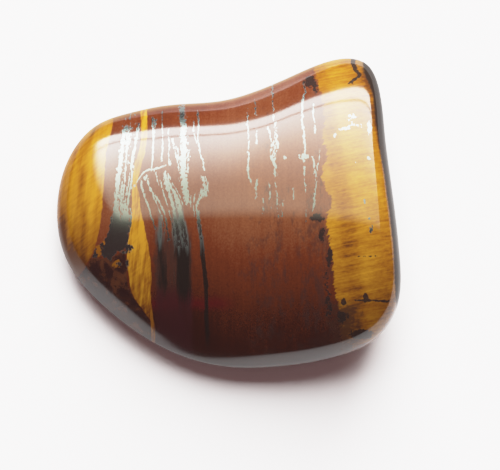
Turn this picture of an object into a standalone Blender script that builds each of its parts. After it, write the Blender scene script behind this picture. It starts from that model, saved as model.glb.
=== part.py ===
"""A tumbled and polished pebble of tiger iron: one stone, modelled as one closed solid.

The stone is a UV sphere whose vertices are moved by a formula. A vertex's longitude picks a
direction in plan, and the cosine of its latitude says how far it lies towards the stone's
outline in that direction. The northern half becomes the domed top and the southern half the
underside, which is flat in the middle, where the stone rests. Sizes are in millimetres, with
+X to the right, +Y to the back and +Z up, and the mesh is made in metres.
"""
import bmesh
import bpy
import numpy as np

MM = 0.001

# Plan outline as (x, y), anticlockwise from the long straight right-hand side. One smooth closed
# curve runs through these points: a square right end, a shallow dip in the back edge, a narrow
# round left lobe and a full belly at the front.
OUTLINE = [
    (17.1, -4.8),
    (16.8, -1.8),
    (16.1, 4.1),
    (15.8, 7.2),
    (15.5, 11.1),
    (15.1, 13.1),
    (14.1, 14.8),
    (12.1, 15.4),
    (7.5, 14.0),
    (2.7, 12.0),
    (-2.0, 11.1),
    (-6.9, 10.8),
    (-9.8, 10.2),
    (-12.7, 9.2),
    (-14.9, 7.2),
    (-16.3, 4.5),
    (-16.9, 1.6),
    (-16.0, -4.4),
    (-12.4, -9.0),
    (-8.4, -12.1),
    (-4.3, -14.2),
    (0.3, -15.3),
    (5.2, -15.3),
    (10.9, -14.4),
    (15.2, -12.3),
    (16.9, -9.5),
]

# The rim, where the stone is widest, is higher at the thick right-hand end.
RIM_HEIGHT = 4.2  # at the middle, above the surface that the stone rests on
RIM_RISE_TO_RIGHT = 0.07  # how much the rim climbs for each millimetre
RIM_RISE_TO_BACK = 0.036

CROWN_HEIGHT = 6.3  # the top's height above the rim, at the middle
CROWN_RISE_TO_RIGHT = 0.145
CROWN_RISE_TO_BACK = -0.022
CROWN_RADIUS_X = 100.0
CROWN_RADIUS_Y = 20.8

# Between the middle and the rim the top also falls by this share of its height.
SHOULDER_FALL = 0.158
SHOULDER_FALL_TO_RIGHT = -0.096
SHOULDER_FALL_TO_BACK = 0.154
SHOULDER_POWER = 3

# The rim rounds over as (1 - u ** tightness) ** (1 / uprightness), where u runs from 0 in the
# middle to 1 at the outline. The back and the right-hand end are tighter and more upright.
RIM_TIGHTNESS = 12.4
RIM_TIGHTNESS_TO_RIGHT = 1.7
RIM_TIGHTNESS_TO_BACK = 1.9
RIM_UPRIGHTNESS = 2.7
RIM_UPRIGHTNESS_TO_RIGHT = 1.4
RIM_UPRIGHTNESS_TO_BACK = 1.0

FLAT_SHARE = 0.53  # how far towards the outline the flat resting patch reaches
BELLY_POWER = 2.0
BELLY_UPRIGHTNESS = 2.3

SEGMENTS = 96
RINGS = 40

BROWN = (0.16, 0.055, 0.022, 1.0)
POLISHED_ROUGHNESS = 0.12


def clear_scene():
    for leftover in list(bpy.data.objects):
        bpy.data.objects.remove(leftover, do_unlink=True)


def closed_curve(angles, values, at):
    """Values at the angles `at`, on a closed cubic curve whose bend is continuous at every knot.

    The slopes at the knots are found first, from one equation for each knot. Between two knots
    the value is then the cubic that has their values and slopes.
    """
    count = len(angles)
    gaps = np.diff(np.append(angles, angles[0] + 2 * np.pi))
    rises = (np.roll(values, -1) - values) / gaps
    equations = np.zeros((count, count))
    for knot in range(count):
        before, after = 1 / gaps[knot - 1], 1 / gaps[knot]
        equations[knot, knot - 1] += before
        equations[knot, knot] += 2 * (before + after)
        equations[knot, (knot + 1) % count] += after
    slopes = np.linalg.solve(equations, 3 * (np.roll(rises / gaps, 1) + rises / gaps))

    at = (at - angles[0]) % (2 * np.pi) + angles[0]
    knot = np.searchsorted(angles, at, side="right") - 1
    following = (knot + 1) % count
    gap = gaps[knot]
    s = (at - angles[knot]) / gap
    return (
        values[knot] * (1 + 2 * s) * (1 - s) ** 2
        + slopes[knot] * gap * s * (1 - s) ** 2
        + values[following] * s**2 * (3 - 2 * s)
        - slopes[following] * gap * s**2 * (1 - s)
    )


def stone_points(sphere):
    """Moves points of a unit sphere, one a row, onto the stone's surface, in millimetres."""
    angle = np.arctan2(sphere[:, 1], sphere[:, 0])
    u = np.clip(np.hypot(sphere[:, 0], sphere[:, 1]), 0, 1)

    knots = np.array(OUTLINE)
    knot_angles = np.unwrap(np.arctan2(knots[:, 1], knots[:, 0]))
    reach = closed_curve(knot_angles, np.hypot(knots[:, 0], knots[:, 1]), angle)
    x = reach * u * np.cos(angle)
    y = reach * u * np.sin(angle)

    rim = RIM_HEIGHT + RIM_RISE_TO_RIGHT * x + RIM_RISE_TO_BACK * y
    crown = CROWN_HEIGHT + CROWN_RISE_TO_RIGHT * x + CROWN_RISE_TO_BACK * y
    crown -= x**2 / (2 * CROWN_RADIUS_X) + y**2 / (2 * CROWN_RADIUS_Y)
    right, back = np.cos(angle), np.sin(angle)
    fall = SHOULDER_FALL + SHOULDER_FALL_TO_RIGHT * right + SHOULDER_FALL_TO_BACK * back
    shoulder = 1 - fall * u**SHOULDER_POWER
    tightness = RIM_TIGHTNESS + RIM_TIGHTNESS_TO_RIGHT * right + RIM_TIGHTNESS_TO_BACK * back
    uprightness = RIM_UPRIGHTNESS + RIM_UPRIGHTNESS_TO_RIGHT * right
    uprightness += RIM_UPRIGHTNESS_TO_BACK * back
    top = crown * shoulder * (1 - u**tightness) ** (1 / uprightness)

    belly = np.clip((u - FLAT_SHARE) / (1 - FLAT_SHARE), 0, 1)
    underside = -rim * (1 - belly**BELLY_POWER) ** (1 / BELLY_UPRIGHTNESS)

    z = rim + np.where(sphere[:, 2] > 0, top, underside)
    return np.column_stack((x, y, z))


def make_stone(collection):
    sphere = bmesh.new()
    bmesh.ops.create_uvsphere(sphere, u_segments=SEGMENTS, v_segments=RINGS, radius=1)
    mesh = bpy.data.meshes.new("tumbled_stone")
    sphere.to_mesh(mesh)
    sphere.free()

    points = np.empty(len(mesh.vertices) * 3)
    mesh.vertices.foreach_get("co", points)
    points = stone_points(points.reshape(-1, 3))

    # The origin is the middle of the stone's box in plan, at the level of the resting patch.
    low, high = points.min(axis=0), points.max(axis=0)
    points -= [(low[0] + high[0]) / 2, (low[1] + high[1]) / 2, low[2]]
    mesh.vertices.foreach_set("co", (points * MM).ravel())
    mesh.update()
    mesh.shade_smooth()

    stone = bpy.data.objects.new("tumbled_stone", mesh)
    collection.objects.link(stone)
    return stone


def make_polished_stone_material():
    material = bpy.data.materials.new("polished_stone")
    material.use_nodes = True
    surface = material.node_tree.nodes["Principled BSDF"]
    surface.inputs["Base Color"].default_value = BROWN
    surface.inputs["Roughness"].default_value = POLISHED_ROUGHNESS
    surface.inputs["Metallic"].default_value = 0.0
    return material


clear_scene()
parts = bpy.data.collections.new("tiger_iron_pebble")
bpy.context.scene.collection.children.link(parts)
make_stone(parts).data.materials.append(make_polished_stone_material())
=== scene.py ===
from functools import reduce

import bpy
import numpy as np
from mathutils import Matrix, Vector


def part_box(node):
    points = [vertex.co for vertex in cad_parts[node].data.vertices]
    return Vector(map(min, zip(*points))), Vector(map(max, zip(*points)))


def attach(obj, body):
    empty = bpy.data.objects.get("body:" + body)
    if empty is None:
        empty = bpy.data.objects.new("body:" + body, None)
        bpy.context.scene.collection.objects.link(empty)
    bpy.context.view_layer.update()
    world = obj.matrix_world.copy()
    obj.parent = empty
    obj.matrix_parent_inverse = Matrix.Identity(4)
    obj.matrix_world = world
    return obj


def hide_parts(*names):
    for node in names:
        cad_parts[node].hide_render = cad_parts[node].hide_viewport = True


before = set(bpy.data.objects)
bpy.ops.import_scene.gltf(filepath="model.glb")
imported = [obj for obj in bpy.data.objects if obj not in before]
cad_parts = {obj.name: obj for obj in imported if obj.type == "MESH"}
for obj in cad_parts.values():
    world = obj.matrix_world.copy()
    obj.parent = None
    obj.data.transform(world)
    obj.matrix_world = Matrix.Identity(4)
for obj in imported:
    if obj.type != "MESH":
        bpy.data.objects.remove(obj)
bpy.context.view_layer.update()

# The stone: one pebble of tiger iron, tumbled in a barrel until it is polished all over, and
# laid loose on paper. It is a single piece of rock, flat underneath and domed on top, with a
# square right end and a round left lobe. Sizes are in millimetres: +X right, +Y back, +Z up.
MM = 0.001

# The plan outline as (x, y), anticlockwise from the long straight right-hand side.
OUTLINE = [
    (17.1, -4.8),
    (16.8, -1.8),
    (16.1, 4.1),
    (15.8, 7.2),
    (15.5, 11.1),
    (15.1, 13.1),
    (14.1, 14.8),
    (12.1, 15.4),
    (7.5, 14.0),
    (2.7, 12.0),
    (-2.0, 11.1),
    (-6.9, 10.8),
    (-9.8, 10.2),
    (-12.7, 9.2),
    (-14.9, 7.2),
    (-16.3, 4.5),
    (-16.9, 1.6),
    (-16.0, -4.4),
    (-12.4, -9.0),
    (-8.4, -12.1),
    (-4.3, -14.2),
    (0.3, -15.3),
    (5.2, -15.3),
    (10.9, -14.4),
    (15.2, -12.3),
    (16.9, -9.5),
]

# The rim, where the stone is widest, is higher at the thick right-hand end.
RIM_HEIGHT = 4.2  # at the middle, above the paper
RIM_RISE_TO_RIGHT = 0.07  # how much the rim climbs for each millimetre
RIM_RISE_TO_BACK = 0.036

CROWN_HEIGHT = 6.3  # the top's height above the rim, at the middle
CROWN_RISE_TO_RIGHT = 0.145
CROWN_RISE_TO_BACK = -0.022
CROWN_RADIUS_X = 100.0
CROWN_RADIUS_Y = 20.8

# Between the middle and the rim the top also falls by this share of its height.
SHOULDER_FALL = 0.158
SHOULDER_FALL_TO_RIGHT = -0.096
SHOULDER_FALL_TO_BACK = 0.154
SHOULDER_POWER = 3

# The back and the right-hand end round over more tightly and stand more upright.
RIM_TIGHTNESS = 12.4
RIM_TIGHTNESS_TO_RIGHT = 1.7
RIM_TIGHTNESS_TO_BACK = 1.9
RIM_UPRIGHTNESS = 2.7
RIM_UPRIGHTNESS_TO_RIGHT = 1.4
RIM_UPRIGHTNESS_TO_BACK = 1.0

FLAT_SHARE = 0.53  # how far towards the outline the flat resting patch reaches
BELLY_POWER = 2.0
BELLY_UPRIGHTNESS = 2.3

COLUMNS = 384  # points around the stone
ROWS = 150  # steps from the middle of the top to the middle underneath
CROWDING = 2.6  # how strongly the rows crowd together at the rim


def closed_curve(angles, values, at):
    """Values at the angles `at`, on a closed cubic curve whose bend is continuous at every knot.

    The slopes at the knots are found first, from one equation for each knot. Between two knots
    the value is then the cubic that has their values and slopes.
    """
    count = len(angles)
    gaps = np.diff(np.append(angles, angles[0] + 2 * np.pi))
    rises = (np.roll(values, -1) - values) / gaps
    equations = np.zeros((count, count))
    for knot in range(count):
        before, after = 1 / gaps[knot - 1], 1 / gaps[knot]
        equations[knot, knot - 1] += before
        equations[knot, knot] += 2 * (before + after)
        equations[knot, (knot + 1) % count] += after
    slopes = np.linalg.solve(equations, 3 * (np.roll(rises / gaps, 1) + rises / gaps))
    at = (at - angles[0]) % (2 * np.pi) + angles[0]
    knot = np.searchsorted(angles, at, side="right") - 1
    following = (knot + 1) % count
    gap = gaps[knot]
    s = (at - angles[knot]) / gap
    return (
        values[knot] * (1 + 2 * s) * (1 - s) ** 2
        + slopes[knot] * gap * s * (1 - s) ** 2
        + values[following] * s**2 * (3 - 2 * s)
        - slopes[following] * gap * s**2 * (1 - s)
    )


def stone_surface(turn, depth):
    """Points of the stone in millimetres, at these angles in plan and depths from top to bottom.

    The depth is 0 in the middle of the top, 1 at the rim and 2 in the middle underneath. How far
    out a point lies, as a share u of the outline's reach, is 1 less the crowding power of the
    depth's distance from 1. Above the rim the height is the crown, which is a tilted plane less
    one parabola along X and one along Y. It is multiplied by a shoulder that falls with the cube
    of u, and by the rim's rounding, (1 - u ** tightness) ** (1 / uprightness). Below the rim the
    same kind of rounding starts where the flat resting patch ends.
    """
    u = 1 - np.abs(1 - depth) ** CROWDING
    knots = np.array(OUTLINE)
    knot_angles = np.unwrap(np.arctan2(knots[:, 1], knots[:, 0]))
    reach = closed_curve(knot_angles, np.hypot(knots[:, 0], knots[:, 1]), turn)
    x = reach * u * np.cos(turn)
    y = reach * u * np.sin(turn)
    rim = RIM_HEIGHT + RIM_RISE_TO_RIGHT * x + RIM_RISE_TO_BACK * y
    crown = CROWN_HEIGHT + CROWN_RISE_TO_RIGHT * x + CROWN_RISE_TO_BACK * y
    crown = crown - x**2 / (2 * CROWN_RADIUS_X) - y**2 / (2 * CROWN_RADIUS_Y)
    right, back = np.cos(turn), np.sin(turn)
    fall = SHOULDER_FALL + SHOULDER_FALL_TO_RIGHT * right + SHOULDER_FALL_TO_BACK * back
    tightness = RIM_TIGHTNESS + RIM_TIGHTNESS_TO_RIGHT * right + RIM_TIGHTNESS_TO_BACK * back
    uprightness = RIM_UPRIGHTNESS + RIM_UPRIGHTNESS_TO_RIGHT * right
    uprightness = uprightness + RIM_UPRIGHTNESS_TO_BACK * back
    top = crown * (1 - fall * u**SHOULDER_POWER) * (1 - u**tightness) ** (1 / uprightness)
    belly = np.clip((u - FLAT_SHARE) / (1 - FLAT_SHARE), 0, 1)
    underside = -rim * (1 - belly**BELLY_POWER) ** (1 / BELLY_UPRIGHTNESS)
    return np.stack((x, y, rim + np.where(depth < 1, top, underside)), axis=-1)


turn, depth = np.meshgrid(
    np.linspace(0, 2 * np.pi, COLUMNS, endpoint=False),
    np.linspace(0, 2, ROWS + 1),
)
# Each pole is one point, which a fan of triangles joins to the first ring.
grid = stone_surface(turn, depth)
points = np.concatenate((grid[:1, 0], grid[1:-1].reshape(-1, 3), grid[-1:, 0]))
low, high = points.min(axis=0), points.max(axis=0)
box_low, box_high = (np.array(corner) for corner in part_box("tumbled_stone"))
points = box_low + (points - low) * (box_high - box_low) / (high - low)

inner = 1 + np.arange((ROWS - 1) * COLUMNS).reshape(ROWS - 1, COLUMNS)
beside = np.roll(inner, -1, axis=1)
quads = np.stack((inner[:-1], inner[1:], beside[1:], beside[:-1]), axis=-1).reshape(-1, 4)
top_fan = np.stack((np.zeros(COLUMNS, int), inner[0], beside[0]), axis=-1)
last = len(points) - 1
bottom_fan = np.stack((np.full(COLUMNS, last), beside[-1], inner[-1]), axis=-1)
mesh = bpy.data.meshes.new("polished_stone")
mesh.from_pydata(points.tolist(), [], quads.tolist() + top_fan.tolist() + bottom_fan.tolist())
mesh.shade_smooth()

# Kept with the mesh: 0 in the middle of the top, 1 at the rim and 2 in the middle underneath.
share = 1 - np.abs(1 - depth) ** CROWDING
share = np.where(depth < 1, share, 2 - share)
share = np.concatenate((share[:1, 0], share[1:-1].ravel(), share[-1:, 0]))
rim_attribute = mesh.attributes.new("to_rim", "FLOAT", "POINT")
rim_attribute.data.foreach_set("value", share.astype(np.float32))
stone = bpy.data.objects.new("banded_stone", mesh)
bpy.context.scene.collection.objects.link(stone)

# The rock's colours are worked out in millimetres from where a point lies in it. The layers
# stand almost upright, so a band keeps its place from the crown down over the rim.
SPAN = 18.0  # half the length, in millimetres, that the curves below are drawn over
SILICA_INDEX = 1.55  # how strongly the polished skin bends light
SKIN_ROUGHNESS = 0.08
ROCK_ROUGHNESS = 0.5


class Value:
    """One socket of a material that can be used in Python sums.

    Every sum on values adds the Math node that works it out, so that a pattern reads as maths.
    """

    def __init__(self, socket):
        self.socket = socket

    def node(self, kind, settings=(), inputs=(), output=0):
        """Adds a node of this kind to the same material and gives one of its outputs.

        The settings come first. `points` draws a Float Curve and `stops` fills a colour ramp.
        The inputs are then given by name or number, each a value, a number or a colour.
        """
        tree = self.socket.id_data
        added = tree.nodes.new("ShaderNode" + kind)
        for name, setting in dict(settings).items():
            if name == "points":
                curve = added.mapping.curves[0]
                added.mapping.extend = "HORIZONTAL"
                for place in setting[1:-1]:
                    curve.points.new(*place)
                curve.points[0].location = setting[0]
                curve.points[-1].location = setting[-1]
                added.mapping.update()
            elif name == "stops":
                ramp = added.color_ramp
                for place, colour in setting[1:-1]:
                    ramp.elements.new(place).color = (*colour, 1)
                for element, (place, colour) in ((0, setting[0]), (-1, setting[-1])):
                    ramp.elements[element].position = place
                    ramp.elements[element].color = (*colour, 1)
            else:
                setattr(added, name, setting)
        for name, given in dict(inputs).items():
            if isinstance(given, Value):
                tree.links.new(given.socket, added.inputs[name])
            else:
                added.inputs[name].default_value = given
        return None if output is None else Value(added.outputs[output])

    def maths(self, operation, first, second=0.0):
        """Adds a Math node for one sum, whose two sides are values or numbers."""
        return self.node("Math", {"operation": operation}, {0: first, 1: second})

    def __add__(self, other):
        return self.maths("ADD", self, other)

    def __radd__(self, other):
        return self.maths("ADD", other, self)

    def __sub__(self, other):
        return self.maths("SUBTRACT", self, other)

    def __rsub__(self, other):
        return self.maths("SUBTRACT", other, self)

    def __mul__(self, other):
        return self.maths("MULTIPLY", self, other)

    def __rmul__(self, other):
        return self.maths("MULTIPLY", other, self)

    def __truediv__(self, other):
        return self.maths("DIVIDE", self, other)

    def __rtruediv__(self, other):
        return self.maths("DIVIDE", other, self)

    def __pow__(self, other):
        return self.maths("POWER", self, other)

    def __rpow__(self, other):
        return self.maths("POWER", other, self)

    def __abs__(self):
        return self.maths("ABSOLUTE", self)

    def at_least(self, other):
        """The larger of the two, which joins two shapes into one."""
        return self.maths("MAXIMUM", self, other)

    def at_most(self, other):
        """The smaller of the two, which keeps only where two shapes overlap."""
        return self.maths("MINIMUM", self, other)

    def step(self, low, high):
        """0 below `low`, 1 above `high`, and an S-shaped ramp between them."""
        settings = {"interpolation_type": "SMOOTHSTEP"}
        return self.node("MapRange", settings, {"Value": self, "From Min": low, "From Max": high})

    def blend(self, first, second):
        """The first colour where this value is 0 and the second where it is 1."""
        return self.node("Mix", {"data_type": "RGBA"}, {0: self, 6: first, 7: second}, 2)


tiger_iron = bpy.data.materials.new("tiger_iron")
tiger_iron.use_nodes = True
rock_tree = tiger_iron.node_tree
surface = rock_tree.nodes["Principled BSDF"]
place = Value(rock_tree.nodes.new("ShaderNodeTexCoord").outputs["Object"])
place = place.node("VectorMath", {"operation": "SCALE"}, {0: place, "Scale": 1 / MM})
across = place.node("SeparateXYZ", {}, {0: place}, 0)
away = place.node("SeparateXYZ", {}, {0: place}, 1)
to_rim = place.node("Attribute", {"attribute_name": "to_rim"}, {}, "Fac")


def cloud(frequency, detail=2.0, turn=0.0, seed=0.0):
    """Cloudy noise from 0 to 1, with a frequency per millimetre for each axis.

    The axes are first turned by this many degrees about +Z, so that streaks can lean.
    """
    turned = place.node(
        "Mapping",
        {"vector_type": "POINT"},
        {"Vector": place, "Rotation": (0, 0, np.radians(-turn)), "Location": (seed, seed, seed)},
    )
    scaled = place.node("VectorMath", {"operation": "MULTIPLY"}, {0: turned, 1: frequency})
    return place.node(
        "TexNoise", {}, {"Vector": scaled, "Scale": 1.0, "Detail": detail, "Roughness": 0.55}
    )


def grain(frequency, **shape):
    """The same noise from -0.5 to 0.5, to be added to an edge or a tone."""
    return cloud(frequency, **shape) - 0.5


def drawn(along, points):
    """A smooth curve through (place, value) points, read at `along`, all in millimetres."""
    unit = sorted((0.5 + at / (2 * SPAN), 0.5 + value / (2 * SPAN)) for at, value in points)
    read = along.node("FloatCurve", {"points": unit}, {"Value": along / (2 * SPAN) + 0.5})
    return read * (2 * SPAN) - SPAN


def oval(beside, above, middle, half_sizes):
    """1 in the middle of an oval, 0 at its edge and negative outside it."""
    (x, y), (half_x, half_y) = middle, half_sizes
    beside, above = (beside - x) / half_x, (above - y) / half_y
    return 1 - (beside * beside + above * above)


# Jasper, the ground of the whole stone: brown-red and fine grained. It gets darker towards the
# front, partly its own tone and partly painted shade where the top turns away from the lamp,
# and a little darker again at the back, which is painted shade too.
JASPER_BLACK = (0.020, 0.0050, 0.0028)
JASPER_BROWN = (0.080, 0.0175, 0.0055)
JASPER_RED = (0.110, 0.036, 0.0145)
JASPER_TAN = (0.146, 0.054, 0.0225)
JASPER_STOPS = [(0.0, JASPER_BLACK), (0.5, JASPER_BROWN), (0.75, JASPER_RED), (1.0, JASPER_TAN)]
WINE = (0.060, 0.0035, 0.0055, 1)
fine_grain = grain((6.0, 5.0, 5.0), detail=3.0)
broad_grain = grain((0.5, 0.25, 0.25), seed=7.0)
streaks = grain((3.2, 0.22, 0.25), detail=3.0, seed=3.0)
# A tone is drawn at ten times its value, and divided by ten where it is used.
# Partly painted shade: darker towards the front and again at the back.
front_tone_and_painted_shade = drawn(
    away,
    (
        (-15.0, 0.2), (-11.0, 1.2), (-8.0, 3.5), (-5.0, 5.2), (-2.0, 7.2), (1.0, 7.6), (7.0, 7.4),
        (10.0, 6.0),
    ),
)
near_bundle = drawn(across, ((-9.0, -1.2), (-3.2, -1.4), (-1.5, -1.0), (1.0, 0.0), (6.0, 0.0)))
shade = (front_tone_and_painted_shade + near_bundle) / 10.0 + broad_grain * 0.25 + streaks * 0.25 + fine_grain * 0.5
colour = shade.node("ValToRGB", {"stops": JASPER_STOPS}, {0: shade})
wine_band = (0.7 - abs(away + 9.2 + broad_grain)).step(-0.3, 0.7) * (1.5 - across).step(0.0, 2.5)
wine_band = wine_band * (across + 7.4).step(0.0, 0.3)
colour = (wine_band * 0.6).blend(colour, WINE)

# Soot-like hematite dust hangs in the jasper near the gold band, in loose upright smears.
DUST = (0.026, 0.014, 0.012, 1)
dust = cloud((1.3, 0.5, 0.6), detail=4.0, seed=41.0)
dust = dust + cloud((5.0, 2.0, 2.0), detail=2.0, seed=43.0) * 0.5
dusty = drawn(
    across,
    (
        (0.0, -2.0), (3.0, 0.4), (5.0, 1.0), (6.3, 0.2), (7.8, 1.3), (9.5, 1.6), (10.5, 1.0),
    ),
)
dusty = dusty + drawn(away, ((4.0, -1.5), (0.0, -0.4), (-3.0, 0.2), (-10.0, 0.5), (-14.0, 0.0)))
colour = ((dust + dusty * 0.10).step(0.78, 1.10) * 0.6).blend(colour, DUST)

# Gold tiger's eye: three silky bands of packed fibres, amber where they lie steep.
GOLD_BROWN = (0.070, 0.022, 0.005)
GOLD_AMBER = (0.170, 0.063, 0.005)
GOLD_MIDDLE = (0.220, 0.095, 0.007)
GOLD_BRIGHT = (0.320, 0.160, 0.012)
GOLD_STOPS = [(0.0, GOLD_BROWN), (0.32, GOLD_AMBER), (0.56, GOLD_MIDDLE), (1.0, GOLD_BRIGHT)]
ragged = grain((1.6, 1.1, 1.1), detail=4.0, seed=11.0)
toothed = grain((0.9, 3.6, 1.5), detail=3.0, turn=35.0, seed=13.0)
# A painted sheen: slow noise that makes the gold lighter and darker in patches, for the fibres'
# silky shimmer. It also wobbles a streak and a vein.
painted_sheen_and_wobble = grain((0.22, 0.30, 0.3), seed=27.0)

# The lobe at the left-hand end, with an amber streak that follows its rim.
lobe_edge = drawn(
    away,
    (
        (10.0, -11.4),
        (8.5, -11.4),
        (5.9, -11.8),
        (2.2, -12.0),
        (-0.2, -12.2),
        (-2.6, -12.6),
        (-4.2, -13.2),
        (-5.8, -14.4),
        (-8.5, -17.8),
    ),
)
lobe = (lobe_edge - across + ragged * 0.4).step(-0.08, 0.08)
cross_fibres = grain((0.6, 5.0, 1.0), detail=3.0, turn=38.0, seed=21.0)
lobe_stripes = grain((1.6, 0.14, 0.2), detail=3.0, turn=-8.0, seed=22.0)
amber_streak = drawn(away, ((9.0, -13.0), (6.0, -14.2), (2.5, -14.4), (-1.0, -14.0), (-4.0, -14.2)))
amber_streak = 1 - abs(across - amber_streak + painted_sheen_and_wobble) / 0.6
# Darker towards the front: partly the gold's own tone, partly painted shade where the top turns
# away from the lamp.
lobe_front = drawn(
    away,
    (
        (9.0, 0.5), (3.0, 0.5), (0.0, -0.5), (-2.0, -2.2), (-3.6, -4.2), (-7.0, -6.5),
    ),
)
lobe_tone = 0.76 + lobe_stripes * 1.0 + cross_fibres * 0.7 + painted_sheen_and_wobble * 0.4
lobe_tone = lobe_tone - amber_streak.at_least(0.0) * 0.25
# Painted shade also darkens the gold where it rounds over at the rim.
lobe_tone = lobe_tone + lobe_front / 10.0 - to_rim.step(0.88, 0.98) * 0.45
colour = lobe.blend(colour, lobe_tone.node("ValToRGB", {"stops": GOLD_STOPS}, {0: lobe_tone}))

# The wedge, a thread of gold at the back that widens to the front.
wedge_left = drawn(
    away,
    (
        (10.1, -8.6),
        (8.3, -8.4),
        (6.4, -8.4),
        (3.9, -9.0),
        (0.8, -9.1),
        (-1.7, -9.2),
        (-4.2, -9.6),
        (-6.3, -9.5),
        (-7.4, -9.4),
        (-8.5, -9.0),
        (-9.8, -8.1),
        (-10.8, -7.4),
    ),
)
wedge_right = drawn(
    away,
    (
        (10.1, -7.9),
        (6.3, -7.8),
        (3.9, -8.3),
        (2.5, -8.6),
        (1.4, -8.4),
        (-0.6, -8.1),
        (-2.9, -7.6),
        (-4.0, -7.4),
        (-6.1, -7.2),
        (-8.6, -7.3),
        (-11.2, -7.0),
    ),
)
wedge_inside = (across - wedge_left).at_most(wedge_right - across) + ragged * 0.35
wedge = wedge_inside.step(-0.05, 0.07)
wedge_fibres = grain((3.4, 0.35, 0.4), detail=4.0, turn=-6.0, seed=23.0)
wedge_tone = 0.72 + wedge_fibres * 2.4 + cross_fibres * 0.8 + painted_sheen_and_wobble * 0.5
# Darker towards the front: partly the gold's own tone, partly painted shade where the top turns
# away from the lamp.
wedge_tone = wedge_tone + drawn(away, ((4.0, 0.5), (-4.0, 1.0), (-7.0, -1.0), (-11.0, -6.0))) / 10.0
colour = wedge.blend(colour, wedge_tone.node("ValToRGB", {"stops": GOLD_STOPS}, {0: wedge_tone}))

# The broad band along the right-hand side, toothed where it grew into the jasper.
band_edge = drawn(
    away,
    (
        (13.7, 8.8),
        (12.0, 9.1),
        (9.0, 9.6),
        (7.8, 9.6),
        (6.8, 9.4),
        (4.6, 9.7),
        (3.0, 9.2),
        (2.4, 9.2),
        (1.6, 9.6),
        (0.0, 10.1),
        (-1.5, 9.6),
        (-3.2, 9.9),
        (-6.4, 10.3),
        (-9.5, 10.7),
        (-12.0, 11.2),
    ),
)
band_inside = across - band_edge + toothed * 1.1 + ragged * 0.6
band = band_inside.step(-0.10, 0.10)
band_fibres = grain((0.35, 4.0, 1.0), detail=4.0, turn=12.0, seed=25.0)
band_grain = grain((2.5, 5.0, 4.0), detail=3.0, turn=12.0, seed=26.0)
amber_zone = drawn(
    across + away * 0.15 + 0.4,
    (
        (9.5, 0.8), (10.6, 0.3), (11.4, -1.8), (12.0, -1.6), (12.9, 1.0), (13.4, 0.9),
        (14.0, 0.2), (14.7, -0.6), (15.4, -1.2), (16.0, -4.5),
    ),
)
# Darker towards the front and a little at the back: partly the gold's own tone, partly painted
# shade.
front_zone = drawn(
    away,
    (
        (13.0, -1.2), (9.0, 0.0), (5.0, 0.6), (-2.0, 0.5), (-5.0, -0.2), (-8.0, -0.8),
        (-10.5, -2.0), (-12.5, -4.0),
    ),
)
band_tone = 0.56 + band_fibres * 1.1 + band_grain * 0.6 + painted_sheen_and_wobble * 0.8
band_tone = band_tone + amber_zone / 10.0 + front_zone / 10.0
colour = band.blend(colour, band_tone.node("ValToRGB", {"stops": GOLD_STOPS}, {0: band_tone}))

# Brown stains in the band's front end.
STAIN = (0.032, 0.013, 0.008, 1)
stain = 1.5 - abs(across - 11.4 + ragged * 3.0) / 1.3
stain = stain.at_most((-8.8 - away) * 0.8) * (band_grain * 3.0 + 1.0)
colour = (stain.step(0.0, 1.0) * 0.9).blend(colour, STAIN)

# Veins and patches are drawn on bent axes, so that none of them is ruled straight.
wander = grain((1.3, 0.7, 0.7), detail=3.0, seed=31.0)
bent = across + wander * 0.3
drift = away + wander * 0.25

# Soot-black hematite too fine to shine: ragged patches beside the band, the vein across its
# back corner and a crack. The whole right-hand flank, down to the paper, is painted the same
# near-black. A pale tan is painted faintly along the back rim, as a painted reflection of the
# bright paper that the rounding rim mirrors.
SOOT_AND_FLANK_BLACK = (0.013, 0.010, 0.009, 1)
PAINTED_RIM_REFLECTION = (0.22, 0.15, 0.05, 1)
specks = grain((3.6, 3.0, 3.0), detail=3.0, seed=45.0)

# Each patch: its middle (x, y), its half sizes and how unbroken it is.
SOOT_PATCHES = (
    ((8.3, 12.6), (0.75, 0.75), 0.8),
    ((8.8, 12.0), (0.35, 0.9), 0.5),
    ((13.2, -12.2), (1.30, 0.50), 1.0),
    ((11.2, -10.6), (0.60, 0.60), 0.6),
    ((8.7, -1.4), (0.75, 0.45), 0.5),
    ((9.2, -2.9), (0.30, 0.80), 0.6),
    ((9.9, -5.0), (0.32, 1.00), 0.7),
    ((11.3, -9.2), (0.30, 0.35), 1.0),
    ((13.35, -8.8), (0.26, 0.50), 1.0),
    ((14.3, -9.1), (2.40, 0.13), 0.6),
    ((13.4, -5.0), (1.20, 0.08), 0.2),
    ((9.6, -7.5), (0.25, 1.60), 0.1),
    ((9.9, -9.5), (0.40, 1.50), 0.35),
)


def patch(middle, half_sizes, unbroken):
    """An oval on the bent axes. The less unbroken it is, the more the noise eats into it."""
    inside = oval(bent, drift, middle, half_sizes)
    return (inside * unbroken).at_most(inside)


soot = reduce(Value.at_least, (patch(*row) for row in SOOT_PATCHES))
vein = drawn(
    away,
    (
        (14.6, 12.6), (14.3, 12.7), (13.7, 12.9), (13.3, 13.2), (12.8, 12.7), (12.3, 12.2),
    ),
)
soot = soot.at_least((1.2 - abs(across - vein + painted_sheen_and_wobble * 0.3) / 0.22).at_most((away - 12.2) * 3.0))
soot = (soot + specks * 2.2).step(0.0, 0.35) * 0.92
flank_edge = drawn(
    away,
    (
        (13.6, 13.6),
        (13.0, 13.8),
        (11.4, 14.3),
        (8.4, 14.5),
        (5.2, 14.8),
        (3.4, 15.1),
        (-0.1, 15.5),
        (-3.9, 15.95),
        (-7.6, 16.2),
        (-9.0, 16.4),
        (-11.0, 17.2),
    ),
)
# The right-hand flank, painted near-black down to the paper.
flank = (across - flank_edge + specks * 0.25).step(-0.12, 0.12)
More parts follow.
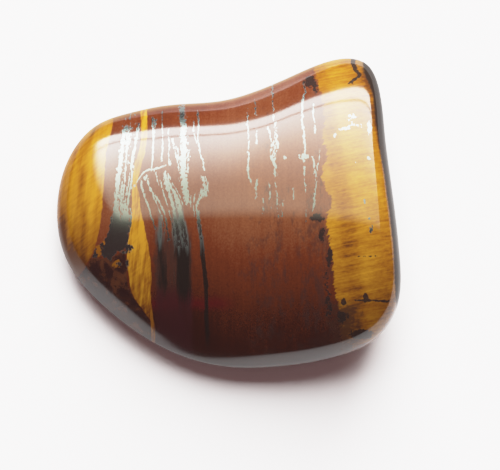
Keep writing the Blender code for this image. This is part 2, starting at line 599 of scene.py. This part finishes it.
# A painted reflection: a pale tan along the back rim, for the bright paper mirrored there.
colour = (to_rim.step(0.93, 0.99) * (away - 5.0).step(0.0, 4.0) * 0.35).blend(colour, PAINTED_RIM_REFLECTION)
colour = soot.at_least(flank * 0.95).blend(colour, SOOT_AND_FLANK_BLACK)

# Hematite: metal-bright threads between the bands, ragged and broken into flecks.
HEMATITE = (0.112, 0.130, 0.121, 1)
HEMATITE_ROUGHNESS = 0.2
flecks = grain((5.5, 2.6, 2.6), detail=2.5, seed=33.0)

# Each thread from back to front: its half width, how unbroken it is, and the (x, y) points that
# it runs through.
THREADS = (
    (0.21, 0.90, ((-10.06, 8.6), (-10.24, 6.2), (-10.40, 4.4), (-10.56, 2.9), (-10.66, 1.4),
                  (-10.79, -0.1), (-10.89, -1.5), (-11.06, -3.0))),
    (0.24, 0.60, ((-9.66, 8.5), (-9.67, 7.0), (-9.68, 6.0))),
    (0.10, 0.70, ((-9.77, 6.8), (-9.77, 5.4), (-9.76, 4.4), (-9.83, 3.4), (-9.87, 2.4),
                  (-10.04, 0.9))),
    (0.12, 0.80, ((-8.70, 8.7), (-8.85, 7.0), (-9.05, 5.4), (-9.16, 4.4), (-9.19, 3.3),
                  (-9.26, 2.3), (-9.41, 1.4), (-9.49, 0.1), (-9.51, -1.3), (-9.56, -2.8))),
    (0.08, 0.50, ((-10.22, 1.9), (-10.08, 0.4), (-9.98, -1.3), (-10.18, -3.0))),
    (0.07, 0.80, ((-9.29, 0.2), (-9.18, -0.7), (-9.31, -2.1))),
    (0.08, 1.00, ((-7.30, 9.3), (-7.21, 8.0), (-7.11, 6.3), (-7.12, 4.8), (-7.26, 3.7))),
    (0.11, 0.50, ((-7.03, 9.1), (-7.11, 7.5))),
    (0.06, 0.70, ((-6.36, 10.0), (-6.25, 7.9), (-6.15, 6.2), (-6.24, 4.7))),
    (0.05, 0.35, ((-5.67, 7.9), (-5.51, 5.9), (-5.59, 5.1), (-5.36, 4.2))),
    (0.06, 0.30, ((-5.24, 6.9), (-4.81, 5.3), (-4.53, 4.0))),
    (0.29, 1.00, ((-4.40, 10.6), (-4.19, 8.4), (-4.07, 5.7), (-4.08, 3.8), (-4.01, 2.6),
                  (-3.77, 1.4), (-3.49, 0.2))),
    (0.07, 0.30, ((-4.62, 5.9), (-4.55, 4.8), (-4.48, 3.4))),
    (0.09, 0.35, ((-3.57, 5.6), (-3.60, 4.6), (-3.65, 3.4))),
    (0.07, 0.60, ((-2.74, 9.8), (-2.65, 8.4), (-2.66, 6.7), (-2.43, 5.2), (-2.08, 4.1),
                  (-1.97, 3.5))),
    (0.05, 0.40, ((-3.11, 8.6), (-3.08, 7.4), (-2.76, 6.4))),
    (0.09, 0.80, ((-8.22, 2.7), (-8.10, 2.0), (-7.88, 1.3), (-7.70, 0.7), (-7.47, 0.1),
                  (-7.29, -0.5), (-6.99, -1.3), (-6.68, -2.0))),
    (0.08, 0.60, ((-7.63, 2.8), (-7.30, 1.9), (-7.00, 1.4), (-6.60, 0.9), (-6.30, 0.4),
                  (-6.00, -0.3), (-5.80, -0.9), (-5.59, -2.0), (-5.41, -3.2))),
    (0.07, 0.50, ((-6.88, 3.7), (-6.72, 3.1), (-6.57, 2.4))),
    (0.15, 0.90, ((-5.85, 3.6), (-5.72, 2.7), (-5.54, 1.9), (-5.31, 1.1), (-5.02, 0.3),
                  (-4.89, -0.5), (-4.76, -1.5), (-4.62, -2.4), (-4.48, -3.8))),
    (0.14, 1.00, ((-5.48, 2.7), (-5.23, 1.9), (-4.83, 1.3), (-4.62, 0.8), (-4.41, 0.1),
                  (-4.24, -0.6), (-4.10, -1.5), (-3.89, -2.4), (-3.66, -3.8))),
    (0.12, 0.70, ((-2.13, 2.9), (-2.02, 2.0), (-2.05, 1.3), (-2.36, 0.8), (-2.65, 0.0),
                  (-2.57, -0.8), (-2.45, -1.7), (-2.29, -3.1))),
    (0.10, 0.40, ((-1.72, 2.1), (-1.82, 1.3))),
    (0.05, 0.50, ((-2.89, 1.1), (-2.99, -0.2), (-2.88, -1.0))),
    (0.07, 0.45, ((2.16, 9.5), (2.16, 7.7), (2.26, 6.4), (2.27, 4.9), (2.21, 3.4), (2.53, 2.3))),
    (0.06, 0.40, ((3.06, 2.2), (2.99, 1.6), (3.06, 0.8))),
    (0.05, 0.35, ((4.13, 7.6), (4.41, 6.3), (4.43, 5.2))),
    (0.09, 0.50, ((4.83, 8.2), (4.90, 6.7), (4.85, 5.7), (4.50, 4.7), (4.78, 3.7), (4.87, 2.7))),
    (0.05, 0.30, ((4.21, 1.8), (4.30, 0.6), (4.39, -0.3))),
    (0.05, 0.30, ((4.87, 2.0), (4.97, 0.8), (4.96, -0.4), (5.09, -1.3))),
    (0.08, 0.60, ((7.67, 12.4), (7.78, 11.4), (7.50, 10.3), (7.43, 9.2), (7.48, 7.7), (7.58, 6.5),
                  (7.65, 5.4), (7.54, 4.2))),
    (0.06, 0.50, ((7.58, 3.6), (7.58, 2.5), (7.66, 1.1))),
    (0.05, 0.35, ((8.51, 10.0), (8.48, 9.2), (8.63, 7.5), (8.68, 6.7))),
    (0.08, 0.50, ((8.40, 4.4), (8.53, 3.4), (8.65, 2.3), (8.59, 1.1), (8.46, 0.3), (8.44, -0.6))),
    (0.05, 0.30, ((7.69, -0.4), (7.70, -1.7))),
    (0.16, 0.60, ((11.93, 8.4), (12.34, 9.0), (12.51, 8.6), (12.10, 8.2))),
    (0.08, 0.70, ((-5.34, 2.3), (-4.83, 0.9), (-4.43, -0.5), (-4.14, -2.1), (-3.94, -3.5))),
    (0.06, 0.50, ((-6.31, 2.5), (-5.82, 1.0), (-5.37, -0.5), (-5.02, -2.0), (-4.81, -3.5))),
    (0.05, 0.40, ((-7.21, 1.9), (-6.68, 0.5), (-6.19, -0.8), (-5.80, -2.4))),
    (0.05, 0.50, ((-5.71, 1.9), (-5.22, 0.5), (-4.83, -0.9), (-4.48, -2.4), (-4.24, -3.9))),
    (0.06, 0.40, ((-5.13, 2.4), (-4.54, 1.3), (-4.14, 0.2))),
    (0.05, 0.50, ((-1.93, 2.9), (-1.72, 2.1), (-1.62, 1.5))),
    (0.05, 0.45, ((-10.69, 4.1), (-10.75, 2.7), (-10.92, 1.3))),
    (0.06, 0.60, ((-10.27, 4.4), (-10.42, 2.7), (-10.61, 0.9), (-10.74, -0.6))),
    (0.05, 0.60, ((-9.12, 5.9), (-9.26, 4.4), (-9.44, 2.8), (-9.61, 1.3))),
    (0.04, 0.30, ((2.98, 7.2), (2.99, 5.9))),
    (0.04, 0.25, ((3.65, 0.6), (3.62, -0.7))),
    (0.04, 0.30, ((6.48, 1.3), (6.48, 0.4))),
    (0.04, 0.30, ((5.53, 0.1), (5.44, -1.1))),
    (0.05, 0.35, ((9.07, 5.2), (8.86, 3.7), (8.65, 2.8))),
    (0.05, 0.30, ((2.87, 10.8), (2.99, 9.2))),
    (0.05, 0.30, ((4.57, 12.6), (4.64, 10.1), (4.72, 8.4))),
)
THREAD_HALO = 0.55  # how far below solid the rock just beside a thread lies
THREAD_FADE = 1.3  # and how fast it falls away from there, for each millimetre


def thread(half_width, unbroken, path):
    """Up to 1 along the middle of a thread and negative beside it and past its two ends."""
    centre = drawn(drift, [(y, x) for x, y in path])
    reach = (drift - path[-1][1]).at_most(path[0][1] - drift) * 2.0
    aside = abs(bent - centre)
    body = ((1 - aside / half_width) * unbroken).at_least(-THREAD_HALO - aside * THREAD_FADE)
    return body.at_most(reach)


solid = reduce(Value.at_least, (thread(*row) for row in THREADS))

# The same for the few veins that run from left to right.
CROSSING_VEINS = (
    (0.09, 0.9, ((-8.7, 2.2), (-8.6, 2.6), (-8.4, 3.0), (-8.0, 3.5), (-7.5, 3.8), (-7.0, 3.8),
                 (-6.6, 3.9), (-6.0, 4.1))),
    (0.10, 0.6, ((11.0, 7.3), (11.6, 7.4), (12.2, 7.8), (12.9, 7.7))),
)
for half_width, unbroken, path in CROSSING_VEINS:
    centre = drawn(bent, path)
    reach = (bent - path[0][0]).at_most(path[-1][0] - bent) * 2.0
    vein = (1 - abs(drift - centre) / half_width) * unbroken
    solid = solid.at_least(vein.at_most(reach))

# Each patch of flecks: its middle (x, y), its half sizes and how unbroken it is.
PATCHES = (
    ((13.9, 7.5), (0.24, 0.69), 0.90),
    ((11.6, 7.4), (0.39, 0.16), 0.60),
    ((12.3, 8.7), (0.39, 0.25), 0.50),
    ((10.6, 6.7), (0.20, 0.20), 0.30),
    ((13.7, 4.4), (0.18, 0.20), 0.80),
    ((12.5, 4.0), (0.12, 0.12), 0.30),
    ((13.2, 0.2), (0.12, 0.30), 0.80),
    ((13.6, -1.5), (0.12, 0.15), 0.70),
    ((13.8, -2.5), (0.14, 0.35), 0.60),
    ((4.8, 5.7), (0.34, 0.59), 0.35),
    ((4.6, 4.6), (0.29, 0.49), 0.30),
    ((7.5, 4.6), (0.49, 0.25), 0.30),
    ((-2.1, 1.3), (0.49, 0.45), 0.35),
    ((5.6, 4.5), (0.24, 0.20), 0.10),
    ((-7.7, 3.0), (0.29, 0.30), 0.40),
    ((-5.7, 2.7), (0.29, 0.69), 0.40),
    ((-9.4, -3.8), (0.45, 0.28), 0.90),
    ((-9.8, -4.2), (0.60, 0.14), 0.50),
    ((-9.6, -5.4), (0.16, 0.50), 0.60),
    ((-10.4, -5.3), (0.30, 0.20), 0.50),
)
solid = reduce(Value.at_least, (patch(*row) for row in PATCHES), solid)

# The left-hand bundle joins into one dark block at the front, with a ragged foot.
block_left = drawn(
    away,
    (
        (8.9, -10.6),
        (4.7, -10.7),
        (3.1, -10.9),
        (0.1, -11.1),
        (-1.2, -11.2),
        (-2.5, -11.5),
        (-3.0, -11.9),
        (-3.5, -12.6),
        (-4.0, -12.9),
        (-4.8, -13.2),
    ),
)
block_foot = drawn(
    across,
    (
        (-14.0, -4.9), (-12.9, -4.5), (-11.3, -4.6), (-10.8, -4.4), (-10.3, -4.1), (-9.6, -3.7),
    ),
)
stripe_place = {0: (across - block_left) * 4.2, 1: away * 0.25, 2: 5.0}
stripe_place = place.node("CombineXYZ", {}, stripe_place)
stripes = place.node("TexNoise", {}, {"Vector": stripe_place, "Scale": 1.0, "Detail": 3.0}) - 0.5
block_gain = drawn(
    away,
    (
        (8.0, -3.5), (3.0, -2.5), (1.5, 0.0), (0.0, 4.0), (-1.5, 13.0), (-3.0, 17.0),
        (-5.2, 17.0),
    ),
)
block_inside = (across - block_left).at_most(wedge_left - 0.1 - across)
block_inside = block_inside.at_most(away - block_foot + ragged * 1.6)
block = block_inside.at_most(0.4) * 2.0 + stripes * 3.0 + block_gain / 10.0 - 1.0
block = block.at_most(block_inside * 6.0 + 0.4)

# Flecks of gold are left standing in its foot, each with its middle and its half sizes.
GOLD_FLECKS = (
    ((-12.5, -3.9), (0.30, 0.55)),
    ((-10.7, -5.3), (0.45, 0.40)),
    ((-12.0, -3.2), (0.18, 0.20)),
)
fleck = None
for (x, y), (half_x, half_y) in GOLD_FLECKS:
    beside, above = (across - x + specks * 1.2) / half_x, (away - y + toothed * 0.8) / half_y
    round_fleck = (1 - (beside * beside + above * above)).at_least(-1.0)
    fleck = round_fleck if fleck is None else fleck.at_least(round_fleck)
block = block - fleck.step(0.0, 0.6) * 6.0
solid = solid.at_least(block)

# The middle bundle sinks into two dark, softly edged columns, with a thin one beside them.
# Each one: its half width, how unbroken it is, and the (x, y) points it runs through.
DARK_COLUMNS = (
    (0.50, 0.2, ((-6.4, -0.8), (-6.3, -3.0), (-6.1, -5.2), (-6.1, -8.6))),
    (0.78, 0.6, ((-4.6, -0.6), (-4.2, -3.4), (-4.1, -5.1), (-4.0, -9.0))),
    (0.22, 0.6, ((-2.5, -1.8), (-2.2, -3.7), (-2.1, -5.1), (-1.9, -6.6), (-1.8, -10.5),
                 (-1.7, -13.5))),
)
column_streaks = grain((3.6, 0.25, 0.3), detail=4.0, seed=35.0)


def dark_column(half_width, unbroken, path):
    """Highest along the middle of a column, with soft streaky sides and ends."""
    centre = drawn(drift, [(y, x) for x, y in path])
    reach = ((drift - path[-1][1]) * 0.5).at_most((path[0][1] - drift) * 0.4).at_most(0.7)
    return reach + unbroken - (abs(bent - centre) / half_width) ** 3.0 + column_streaks * 2.6


columns = reduce(Value.at_least, (dark_column(*row) for row in DARK_COLUMNS))
columns = columns.step(0.0, 1.1) * 0.9

hematite = (solid + flecks * 3.4).step(-0.14, 0.20)
hematite = hematite.at_least(columns * (away + 4.6 + column_streaks * 4.0).step(0.0, 2.8) * 0.9)

# Shade under the block, where the jasper turns maroon and nearly black.
MAROON_BLACK = (0.016, 0.0060, 0.0050, 1)
RUST_BROWN = (0.060, 0.021, 0.009, 1)
under = (across - lobe_edge).at_most(wedge_left - across).at_most(block_foot - away) + ragged * 0.6
under = under.step(-0.05, 0.25)
marbling = grain((0.9, 0.9, 0.9), detail=4.0, turn=40.0, seed=47.0)
maroon = (marbling * 4.0 + 0.25).step(0.0, 1.0).blend(MAROON_BLACK, RUST_BROWN)
colour = under.blend(colour, maroon)
colour = (fleck.step(0.0, 0.5) * 0.8).blend(colour, (*GOLD_AMBER, 1))

# Smoky rock between the wedge and the columns, wine-black at the front.
SMOKY_BROWN = (0.024, 0.0125, 0.0095, 1)
WINE_BLACK = (0.026, 0.0070, 0.0080, 1)
smoke = (across + 7.2 + ragged).step(0.0, 0.7) * (-3.0 - across + ragged * 0.6).step(0.0, 0.5)
smoke = smoke * (-1.6 - away).step(0.0, 2.0)
smoke = smoke * (0.8 + streaks * 1.2).at_most(0.95)
colour = smoke.blend(colour, (-7.0 - away).step(0.0, 1.5).blend(SMOKY_BROWN, WINE_BLACK))

# Last the dark columns and the metal-bright hematite, over everything else.
COLUMN_BLACK = (0.007, 0.006, 0.005, 1)
colour = (columns * 1.1).at_most(0.95).blend(colour, COLUMN_BLACK)
colour = hematite.blend(colour, HEMATITE)

# The rock itself is matt or metallic, and a clear polished skin lies over it.
rock_tree.links.new(colour.socket, surface.inputs["Base Color"])
rock_tree.links.new(hematite.socket, surface.inputs["Metallic"])
roughness = ROCK_ROUGHNESS - hematite * (ROCK_ROUGHNESS - HEMATITE_ROUGHNESS)
rock_tree.links.new(roughness.socket, surface.inputs["Roughness"])
surface.inputs["Specular IOR Level"].default_value = 0.0

# The polish is duller where the edges round over, except at the front.
rounding = to_rim.step(0.885, 0.92) * (1 - to_rim.step(0.965, 1.0)) * (13.0 - across).step(0.0, 4.0)
dulling = drawn(
    away,
    (
        (-9.0, 0.0), (-7.0, 1.0), (-3.5, 8.0), (3.0, 8.0), (8.0, 5.0), (12.0, 4.0),
    ),
)
dull = rounding * dulling / 10.0
dull = dull.at_least(flank * 0.5)
rock_tree.links.new((1 - dull).socket, surface.inputs["Coat Weight"])
surface.inputs["Coat Roughness"].default_value = SKIN_ROUGHNESS
surface.inputs["Coat IOR"].default_value = SILICA_INDEX
mesh.materials.append(tiger_iron)
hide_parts("tumbled_stone")
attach(stone, "root")

# The paper: a plain sheet of uncoated white paper, far larger than the stone, which lies loose
# on it. It is matt all over and lies flat at the height of the stone's resting patch.
PAPER_HALF = 3.0  # metres
PAPER_WHITE = (0.8, 0.8, 0.8, 1)
PAPER_ROUGHNESS = 0.9
paper_mesh = bpy.data.meshes.new("paper")
paper_corners = [
    (-PAPER_HALF, -PAPER_HALF, 0),
    (PAPER_HALF, -PAPER_HALF, 0),
    (PAPER_HALF, PAPER_HALF, 0),
    (-PAPER_HALF, PAPER_HALF, 0),
]
paper_mesh.from_pydata(paper_corners, [], [(0, 1, 2, 3)])
paper = bpy.data.objects.new("paper", paper_mesh)
bpy.context.scene.collection.objects.link(paper)
paper_material = bpy.data.materials.new("white_paper")
paper_material.use_nodes = True
sheet = paper_material.node_tree.nodes["Principled BSDF"]
sheet.inputs["Base Color"].default_value = PAPER_WHITE
sheet.inputs["Roughness"].default_value = PAPER_ROUGHNESS
sheet.inputs["Specular IOR Level"].default_value = 0.0
paper_mesh.materials.append(paper_material)

# The soft lamp: a wide diffuser, a metre away behind the stone and above it. It lights the
# paper and the rock's colours and casts the shadow. It isn't mirrored in the polish, because
# the window is.
KEY_AZIMUTH, KEY_ELEVATION = np.radians(4.4), np.radians(39.0)
KEY_WIDTH, KEY_HEIGHT = 0.75, 1.3
KEY_POWER = 54.0
key_data = bpy.data.lights.new("key", "AREA")
key_data.shape = "RECTANGLE"
key_data.size = KEY_WIDTH
key_data.size_y = KEY_HEIGHT
key_data.energy = KEY_POWER
key = bpy.data.objects.new("key", key_data)
key.location = (
    np.sin(KEY_AZIMUTH) * np.cos(KEY_ELEVATION),
    np.cos(KEY_AZIMUTH) * np.cos(KEY_ELEVATION),
    np.sin(KEY_ELEVATION),
)
key.rotation_euler = (KEY_ELEVATION - np.pi / 2, 0, -KEY_AZIMUTH)
key.visible_glossy = False
bpy.context.scene.collection.objects.link(key)

# The window: two panes behind the stone with a bar between them. They are there only for the
# polish and the metal to mirror, and light nothing matt. Places on them are in metres across
# the panel and up it, from the point that faces the stone.
PANEL_ELEVATION = np.radians(60.0)
PANEL_DISTANCE = 0.8
PANEL_LEFT, PANEL_RIGHT = -1.15, 0.70
PANEL_FOOT, PANEL_TOP = -0.676, 0.485
BAR_FOOT, BAR_TOP = -0.535, -0.516
PANEL_STRENGTH = 17.6
FALL_SHARE, TOP_SHARE = 0.80, 0.19  # of the strength: what fades upwards, and what stays on
FOOT_TINT = (0.98, 1.04, 1.02, 1)
TOP_TINT = (1, 0.95, 0.76, 1)
window_material = bpy.data.materials.new("window_light")
window_material.use_nodes = True
window_material.node_tree.nodes.clear()
panel_place = Value(window_material.node_tree.nodes.new("ShaderNodeUVMap").outputs[0])
panel_place.socket.node.uv_map = "panel"
height = panel_place.node("SeparateXYZ", {}, {0: panel_place}, 1)
side = panel_place.node("SeparateXYZ", {}, {0: panel_place}, 0)
height = (height - PANEL_FOOT) / (PANEL_TOP - PANEL_FOOT)
strength = (1 - height.step(0.0, 0.75)) * FALL_SHARE + (1 - height.step(0.88, 1.04)) * TOP_SHARE
strength = strength * PANEL_STRENGTH
strength = strength * (side - PANEL_LEFT).step(0.0, 0.25)
strength = strength * (1.3 - (side + 1.1).step(0.0, 0.8) * 0.3)
tint = height.step(0.1, 0.9).blend(FOOT_TINT, TOP_TINT)
glow = panel_place.node("Emission", {}, {"Color": tint, "Strength": strength})
glow.node("OutputMaterial", {}, {"Surface": glow}, None)
toward = np.array([0, np.cos(PANEL_ELEVATION), np.sin(PANEL_ELEVATION)])
upward = np.array([0, -np.sin(PANEL_ELEVATION), np.cos(PANEL_ELEVATION)])


def add_pane(name, corners):
    """A flat pane of the window through these corners, each one across the panel and up it."""
    pane_mesh = bpy.data.meshes.new(name)
    places = [PANEL_DISTANCE * toward + [a, 0, 0] + b * upward for a, b in corners]
    pane_mesh.from_pydata(places, [], [(0, 1, 2, 3)])
    uv = pane_mesh.uv_layers.new(name="panel")
    uv.data.foreach_set("uv", np.array(corners, np.float32).ravel())
    pane = bpy.data.objects.new(name, pane_mesh)
    pane.visible_diffuse = False
    pane.visible_shadow = False
    bpy.context.scene.collection.objects.link(pane)
    pane_mesh.materials.append(window_material)


add_pane(
    "window_foot",
    [(PANEL_LEFT, PANEL_FOOT), (0.56, PANEL_FOOT), (0.68, BAR_FOOT), (PANEL_LEFT, BAR_FOOT)],
)
add_pane(
    "window_pane",
    [(PANEL_LEFT, BAR_TOP), (PANEL_RIGHT, BAR_TOP), (PANEL_RIGHT, PANEL_TOP), (-1.0, PANEL_TOP)],
)

# The room: a weak reddish light comes back from all round and fills the shadow. The view bends
# its bright parts down gently, as film does.
ROOM_COLOUR = (1, 0.57, 0.57, 1)
ROOM_STRENGTH = 0.23
WHITE_LEVEL = 4  # the light at which the tone curve ends
TONE = [(0.3, 0.3), (0.5, 0.48), (0.7, 0.63), (1.0, 0.77), (1.5, 0.88), (2.2, 0.94), (3.0, 0.965)]
BRIGHTEST_SHOWN = 0.98
world = bpy.data.worlds.new("room")
world.use_nodes = True
world.node_tree.nodes["Background"].inputs["Color"].default_value = ROOM_COLOUR
world.node_tree.nodes["Background"].inputs["Strength"].default_value = ROOM_STRENGTH
bpy.context.scene.world = world
view = bpy.context.scene.view_settings
view.view_transform = "Standard"
view.use_curve_mapping = True
tone = view.curve_mapping
tone.white_level = (WHITE_LEVEL, WHITE_LEVEL, WHITE_LEVEL)
curve = tone.curves[3]
for light, shown in TONE:
    curve.points.new(light / WHITE_LEVEL, shown)
curve.points[-1].location = (1, BRIGHTEST_SHOWN)
tone.update()

# The camera: it looks almost straight down on the stone, from a little in front of it, through
# a long lens. Its places are in metres.
CAMERA_AIM = np.array([0.00240, -0.00217, 0.004])
CAMERA_ELEVATION = np.radians(84.0)
CAMERA_DISTANCE = 0.1389
CAMERA_LENS = 100.0
camera_data = bpy.data.cameras.new("camera")
camera_data.lens = CAMERA_LENS
camera_data.clip_start = 0.01
camera = bpy.data.objects.new("camera", camera_data)
bpy.context.scene.collection.objects.link(camera)
camera.location = CAMERA_AIM + CAMERA_DISTANCE * np.array(
    [0, -np.cos(CAMERA_ELEVATION), np.sin(CAMERA_ELEVATION)]
)
camera.rotation_euler = (np.pi / 2 - CAMERA_ELEVATION, 0, 0)
bpy.context.scene.camera = camera
